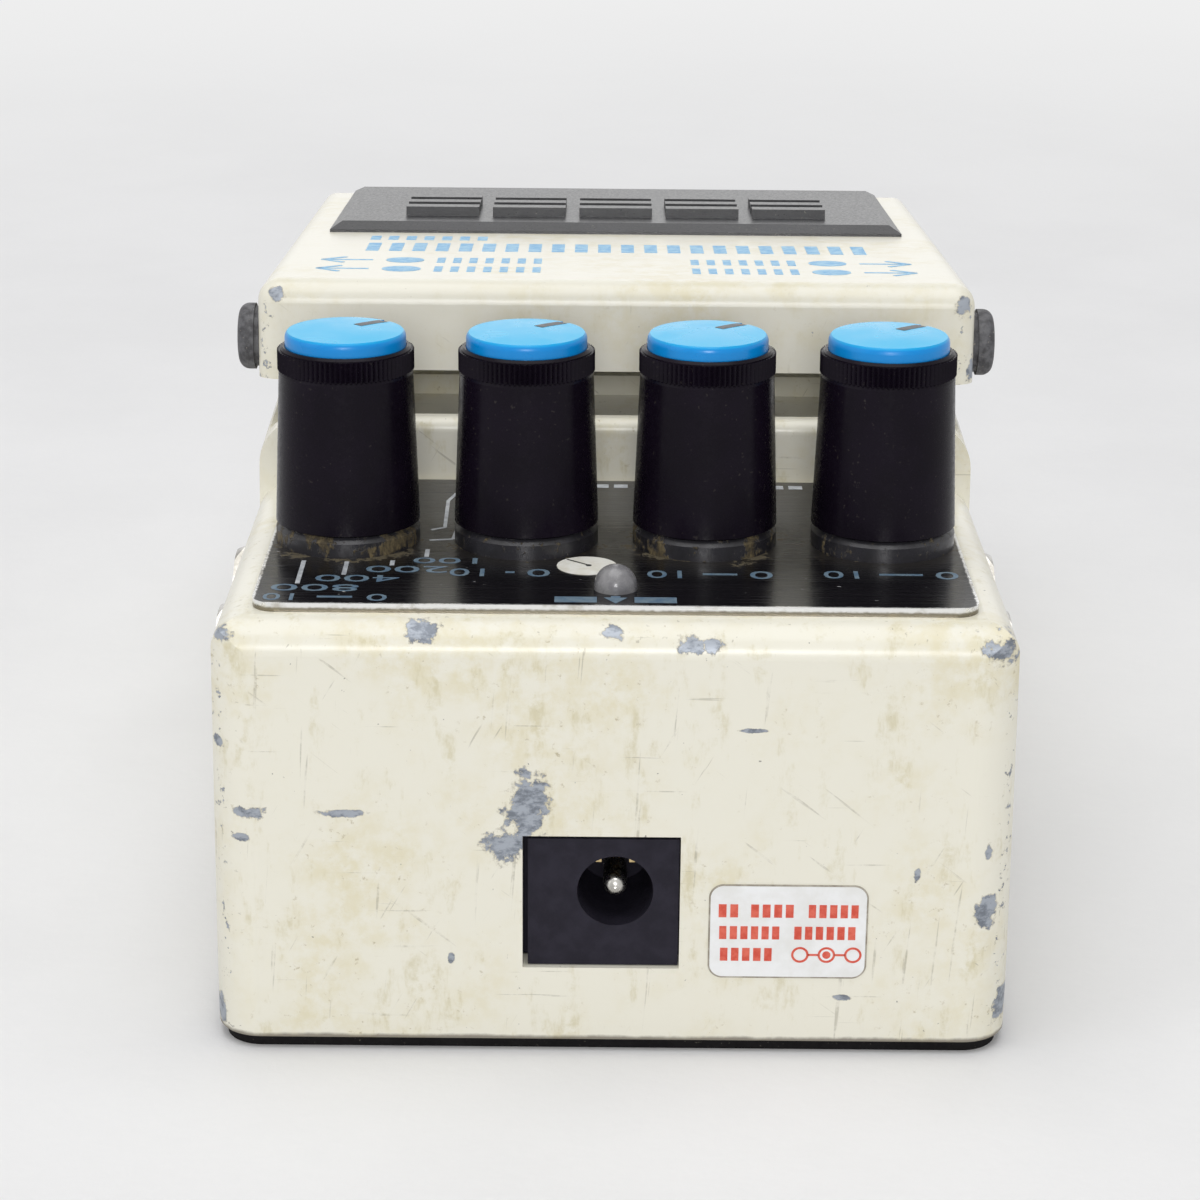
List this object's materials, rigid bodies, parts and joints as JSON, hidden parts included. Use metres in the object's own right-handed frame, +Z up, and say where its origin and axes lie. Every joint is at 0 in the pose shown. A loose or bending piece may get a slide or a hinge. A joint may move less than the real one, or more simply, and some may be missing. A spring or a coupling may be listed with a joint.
{
  "type": "digital delay foot pedal",
  "caption": "Compact die-cast foot pedal with tall control knobs, a hinged sprung treadle, side jacks, a rear power socket and a battery bay.",
  "frame": {"origin": "middle of the bounding box on the floor, thumbscrew backed out", "axes": "+Z up, +Y to the rear face with the power socket, the player at -Y, +X to the player's right"},
  "size_m": [0.073, 0.1334, 0.0591],
  "materials": {
    "cream_paint": "worn gloss paint",
    "base_steel": "plated",
    "sole_rubber": "matte",
    "screw_steel": "plated",
    "sheet_paper": "dull",
    "plate_black": "printed satin",
    "seal_grey": "matte",
    "control_metal": "plated",
    "switch_blue": "dull",
    "board_green": "satin",
    "lamp_milky": "translucent",
    "black_plastic": "satin",
    "contact_metal": "bright",
    "jack_black": "satin",
    "nickel": "bright",
    "chip_black": "dull",
    "sleeve_blue": "shiny",
    "cable_grey": "dull",
    "spring_steel": "bright",
    "nylon": "satin",
    "foam": "matte",
    "battery_case": "satin",
    "lead_red": "satin",
    "cap_rubber": "matte",
    "pad_rubber": "matte",
    "knob_black": "glossy",
    "cap_blue": "glossy",
    "shaft_metal": "turned"
  },
  "bodies": {
    "body": {"chassis": "cream_paint", "base_plate": "base_steel", "base_rubber": "sole_rubber", "base_screws": "screw_steel", "insulator_sheet": "sheet_paper", "control_panel": "plate_black", "knob_seals": "seal_grey", "pot_level": "control_metal", "pot_feedback": "control_metal", "pot_time": "control_metal", "mode_switch": "switch_blue", "control_board": "board_green", "lamp_lens": "lamp_milky", "lamp_holder": "black_plastic", "power_socket": "black_plastic", "power_pin": "contact_metal", "power_contact": "contact_metal", "jack_in_a": "jack_black", "jack_in_b": "jack_black", "jack_out_a": "jack_black", "jack_out_b": "jack_black", "jack_washers": "nickel", "jack_nuts": "nickel", "main_board": "board_green", "board_screws": "screw_steel", "processor_chip": "chip_black", "memory_chips": "chip_black", "capacitors": "sleeve_blue", "ribbon_cable": "cable_grey", "foot_switch": "black_plastic", "spring_seat": "black_plastic", "return_spring": "spring_steel", "guide_bush": "nylon", "foam_pad": "foam", "battery": "battery_case", "battery_terminals": "nickel", "battery_snap": "black_plastic", "battery_leads": "lead_red"},
    "hinge_carrier": {"hinge_shaft": "spring_steel", "hinge_caps": "cap_rubber", "spring_cup": "base_steel"},
    "treadle": {"treadle": "cream_paint", "treadle_pad": "pad_rubber", "switch_pusher": "nylon"},
    "thumbscrew": {"thumbscrew": "nickel", "screw_clip": "screw_steel"},
    "switch_plunger": {"switch_plunger": "nylon"},
    "knob_mode": {"knob_mode_skirt": "knob_black", "knob_mode_cap": "cap_blue", "knob_mode_shaft": "shaft_metal"},
    "knob_time": {"knob_time_skirt": "knob_black", "knob_time_cap": "cap_blue", "knob_time_shaft": "shaft_metal"},
    "knob_feedback": {"knob_feedback_skirt": "knob_black", "knob_feedback_cap": "cap_blue", "knob_feedback_shaft": "shaft_metal"},
    "knob_level": {"knob_level_skirt": "knob_black", "knob_level_cap": "cap_blue", "knob_level_shaft": "shaft_metal"}
  },
  "joints": [
    {"name": "treadle_press", "type": "hinge", "parent": "body", "child": "hinge_carrier", "pos_m": [0, 0.0158, 0.0501], "axis": [-1, 0, 0], "range_deg": [-2.4, 0], "stiffness_Nm_per_rad": 0.8, "springref_deg": 9.17, "deforming": ["return_spring"]},
    {"name": "treadle_open", "type": "hinge", "parent": "hinge_carrier", "child": "treadle", "pos_m": [0, 0.0158, 0.0501], "axis": [-1, 0, 0], "range_deg": [0, 70]},
    {"name": "thumbscrew_feed", "type": "slide", "parent": "treadle", "child": "thumbscrew", "axis": [0, 0.9914, 0.1305], "range_m": [0, 0.0045]},
    {"name": "switch_plunge", "type": "slide", "parent": "body", "child": "switch_plunger", "axis": [0, 0, 1], "range_m": [-0.0022, 0.0002]},
    {"name": "knob_mode_turn", "type": "hinge", "parent": "body", "child": "knob_mode", "pos_m": [0.024, 0.0443, 0.0389], "axis": [0, -0.0523, 0.9986], "range_deg": [-300, 0]},
    {"name": "knob_time_turn", "type": "hinge", "parent": "body", "child": "knob_time", "pos_m": [0.008, 0.0443, 0.0389], "axis": [0, -0.0523, 0.9986], "range_deg": [-300, 0]},
    {"name": "knob_feedback_turn", "type": "hinge", "parent": "body", "child": "knob_feedback", "pos_m": [-0.008, 0.0443, 0.0389], "axis": [0, -0.0523, 0.9986], "range_deg": [-300, 0]},
    {"name": "knob_level_turn", "type": "hinge", "parent": "body", "child": "knob_level", "pos_m": [-0.024, 0.0443, 0.0389], "axis": [0, -0.0523, 0.9986], "range_deg": [-300, 0]}
  ],
  "couplings": [
    {"joint": "switch_plunge", "follows": "treadle_press", "m_per_rad": 0.045656}
  ]
}
